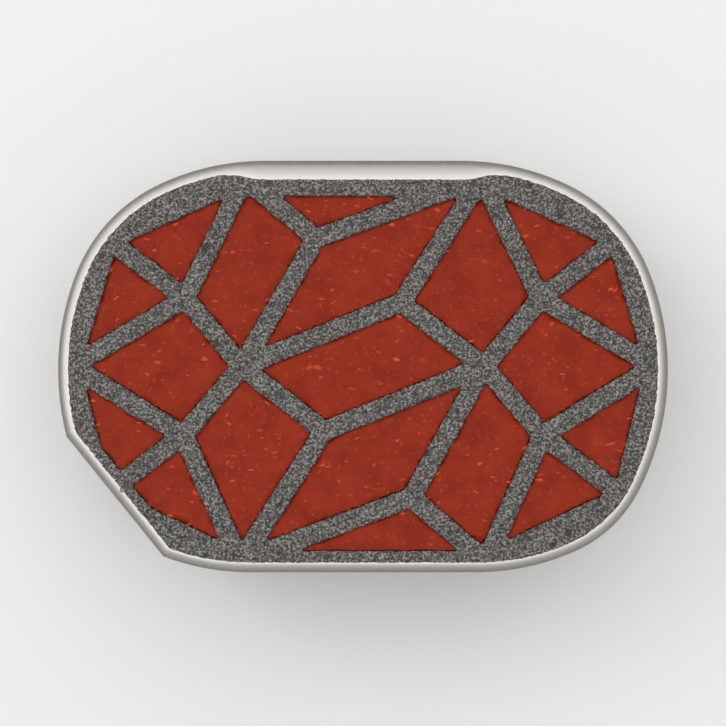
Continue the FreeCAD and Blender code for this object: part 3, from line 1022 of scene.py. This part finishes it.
@dataclass
class GraftFilling:
    """Morselised graft that fills the chamber and the windows of both endplates.

    Attributes:
        facet: size of its facets.
        lump: size of its lumps.
        lump_height: height of its lumps.
        morsel: size of its morsels.
        morsel_height: height of its morsels.
        swelling: how far the whole surface is raised.
        crowding: how far its sides press into the struts and walls.
        dimple_depth: depth in the inserter hole that it keeps clear of.
        dimple_radius: radius of that dimple.
    """

    facet: float = 0.23
    lump: float = 1.1
    lump_height: float = 0.09
    morsel: float = 0.42
    morsel_height: float = 0.045
    swelling: float = 0.02
    crowding: float = 0.1
    dimple_depth: float = 6.3
    dimple_radius: float = 1.0

    def build(self, material: bpy.types.Material) -> bpy.types.Object:
        """Build the filling.

        Args:
            material: the moist finish.

        Returns:
            The piece that stands for the CAD graft.
        """
        filling = evenly_faceted(copy_of("bone_graft"), self.facet)
        push(filling, lambda vert: self.swell(vert.co) + self.crowding * (1 - abs(vert.normal.z)))
        self.clear_drill_point(filling)
        return finish_piece(filling, "graft_filling", material, "bone_graft")

    def swell(self, place: Vector) -> float:
        """Work out how far the graft's surface rises.

        Args:
            place: a point of the surface.

        Returns:
            Height of the lumps and morsels there.
        """
        lumps = self.lump_height * noise.noise(place / self.lump)
        morsels = self.morsel_height * (0.5 - noise.voronoi(place / self.morsel)[0][0])
        return lumps + morsels + self.swelling

    def clear_drill_point(self, filling: BMesh) -> None:
        """Press a dimple into the graft behind the drill point of the inserter hole.

        Args:
            filling: the graft's mesh.
        """
        bore = Bore.of_record()
        for vert in filling.verts:
            depth, radius = bore.depth_and_radius(vert.co)
            if radius < self.dimple_radius and depth < self.dimple_depth:
                vert.co -= bore.axis * (self.dimple_depth - depth)


@dataclass
class GraftChips:
    """Small bone chips pressed into the graft where it shows in the windows.

    Attributes:
        per_face: number of chips on each of the two endplates.
        lengths: shortest and longest chip.
        shrinking: bounds of the share of its length that a chip keeps.
        widths: bounds of a chip's width as a share of its length.
        flatness: height of a chip as a share of its width.
        proud: how far a chip's middle stands out of the flat graft.
        turning: usual turn of a chip away from the cage's width, in radians.
        dent: size of the dents in a chip.
        dent_depth: depth of the dents as a share of a chip's width.
        rounding: subdivisions of a chip's icosphere.
        seed: seed of the scatter and of the dents.
    """

    per_face: int = 290
    lengths: Range = (0.12, 0.62)
    shrinking: Range = (0.7, 1.0)
    widths: Range = (0.26, 0.55)
    flatness: float = 0.5
    proud: float = 0.02
    turning: float = 0.4
    dent: float = 0.16
    dent_depth: float = 0.16
    rounding: int = 2
    seed: int = 19

    def build(self, material: bpy.types.Material) -> bpy.types.Object:
        """Scatter the chips over the graft's upper and lower faces.

        Args:
            material: the finish of the chips.

        Returns:
            One piece with all the chips.
        """
        chance = random.Random(self.seed)
        noise.seed_set(self.seed)
        chips = bmesh.new()
        graft = copy_of("bone_graft")
        for plane in map(Plane.of, Endplate):
            recess = max(plane.height(vert.co) for vert in graft.verts)
            shown = [face for face in graft.faces if plane.holds(face, recess)]
            areas = [face.calc_area() for face in shown]
            for face in chance.choices(shown, areas, k=self.per_face):
                self.add_chip(chips, self.spot(face, chance), plane, chance)
        graft.free()
        return finish_piece(chips, "graft_chips", material, "bone_graft")

    def spot(self, face: BMFace, chance: random.Random) -> Vector:
        """Random point on a triangle.

        Args:
            face: the triangle.
            chance: source of the random draws.

        Returns:
            The point.
        """
        across = math.sqrt(chance.random())
        along = chance.random()
        first, second, third = (vert.co for vert in face.verts)
        return first * (1 - across) + second * (across * (1 - along)) + third * (across * along)

    def add_chip(self, chips: BMesh, spot: Vector, plane: Plane, chance: random.Random) -> None:
        """Add one flat, uneven chip that lies on the graft.

        Args:
            chips: mesh of all the chips.
            spot: place of the chip on the flat graft.
            plane: plane of the bed beside it.
            chance: source of the random draws.
        """
        long = chance.uniform(*self.lengths) * chance.uniform(*self.shrinking)
        wide = long * chance.uniform(*self.widths)
        tilt = plane.outward.to_track_quat("Z", "Y").to_matrix().to_4x4()
        turn = Matrix.Rotation(chance.gauss(0, self.turning), 4, "Z")
        shape = Matrix.Diagonal((long, wide, wide * self.flatness, 1))
        place = Matrix.Translation(spot + plane.outward * self.proud)
        made = bmesh.ops.create_icosphere(chips, subdivisions=self.rounding, radius=0.5,
                                          matrix=place @ tilt @ turn @ shape)
        for vert in made["verts"]:
            vert.co += noise.noise_vector(vert.co / self.dent) * wide * self.dent_depth


# Studio

@dataclass(frozen=True)
class Lamp:
    """Square lamp that looks at the middle of the cage, in metres and watts."""

    name: str
    place: Place
    size: float
    power: float

    def hang(self) -> None:
        """Add the lamp to the scene."""
        data = bpy.data.lights.new(self.name, "AREA")
        data.shape = "SQUARE"
        data.size = self.size
        data.energy = self.power
        lamp = bpy.data.objects.new(self.name, data)
        lamp.location = self.place
        middle = (CAD_BOX[0] + CAD_BOX[1]) / 2
        lamp.rotation_euler = (middle - Vector(self.place)).to_track_quat("-Z", "Y").to_euler()
        bpy.context.scene.collection.objects.link(lamp)


@dataclass
class Studio:
    """Plain pale floor, soft light from above and the camera straight over the cage.

    Attributes:
        floor_size: side of the floor.
        floor_drop: gap between the cage and the floor.
        floor_colour: colour of the floor.
        floor_roughness: roughness of the floor.
        backdrop: colour of the world as it is seen.
        fill: brightness of the world as it lights the cage.
        lamps: the lamps.
        lens: focal length of the camera in millimetres.
        share_of_frame: share of the picture's width that the cage takes.
        clip_start: nearest distance that the camera shows.
    """

    floor_size: float = 6.0
    floor_drop: float = 0.00002
    floor_colour: Colour = (0.90, 0.90, 0.89)
    floor_roughness: float = 0.85
    backdrop: Colour = (0.93, 0.93, 0.92)
    fill: float = 0.62
    lamps: tuple[Lamp, ...] = (Lamp("soft_overhead", (0.0, 0.16, 0.46), 0.60, 1.0),
                               Lamp("key", (-0.34, 0.16, 0.34), 0.26, 0.34))
    lens: float = 100.0
    share_of_frame: float = 0.86
    clip_start: float = 0.001

    def build(self) -> None:
        """Build the floor, the world, the lamps and the camera."""
        self.lay_floor()
        self.set_world()
        for lamp in self.lamps:
            lamp.hang()
        self.add_camera()
        bpy.context.scene.view_settings.view_transform = "Standard"

    def lay_floor(self) -> None:
        """Floor at the foot of the cage."""
        floor = bmesh.new()
        bmesh.ops.create_grid(floor, x_segments=1, y_segments=1, size=self.floor_size / 2)
        bmesh.ops.translate(floor, verts=floor.verts, vec=(0, 0, CAD_BOX[0].z - self.floor_drop))
        data = bpy.data.meshes.new("floor")
        floor.to_mesh(data)
        floor.free()
        material, nodes, shader = principled("floor_paint")
        nodes.feed(shader, Base_Color=rgba(self.floor_colour), Roughness=self.floor_roughness)
        data.materials.append(material)
        piece = bpy.data.objects.new("floor", data)
        bpy.context.scene.collection.objects.link(piece)

    def set_world(self) -> None:
        """World that fills with soft light and shows as the pale backdrop."""
        world = bpy.data.worlds.new("studio")
        bpy.context.scene.world = world
        world.use_nodes = True
        nodes = Nodes(world.node_tree)
        rays = nodes.add("LightPath")
        seen = rays.outputs["Is Camera Ray"]
        for name in ("Is Glossy Ray", "Is Transmission Ray"):
            seen = nodes.worked("MAXIMUM", seen, rays.outputs[name])
        colour = nodes.mixed(seen, rgba((self.fill,) * 3), rgba(self.backdrop))
        nodes.feed(world.node_tree.nodes["Background"], Color=colour, Strength=1.0)

    def add_camera(self) -> None:
        """Camera that looks straight down, with the back of the cage at the top."""
        low, high = CAD_BOX
        data = bpy.data.cameras.new("camera")
        data.lens = self.lens
        data.clip_start = self.clip_start
        frame_width = (high.x - low.x) / self.share_of_frame
        distance = frame_width * data.lens / data.sensor_width
        camera = bpy.data.objects.new("camera", data)
        camera.location = ((low.x + high.x) / 2, (low.y + high.y) / 2, high.z + distance)
        bpy.context.scene.collection.objects.link(camera)
        bpy.context.scene.camera = camera


def main() -> None:
    """Build the cage, its graft and the studio."""
    logging.basicConfig(level=logging.INFO, format="%(name)s %(message)s")
    grain_group()
    satin = SatinFinish().material()
    CageShell().build(satin)
    InserterThread().build(satin)
    rough = PorousFinish().material()
    for endplate in Endplate:
        PorousBed(endplate).build(rough)
    GraftFilling().build(GraftFinish().material())
    GraftChips().build(ChipFinish().material())
    Studio().build()


if __name__ == "__main__":
    main()
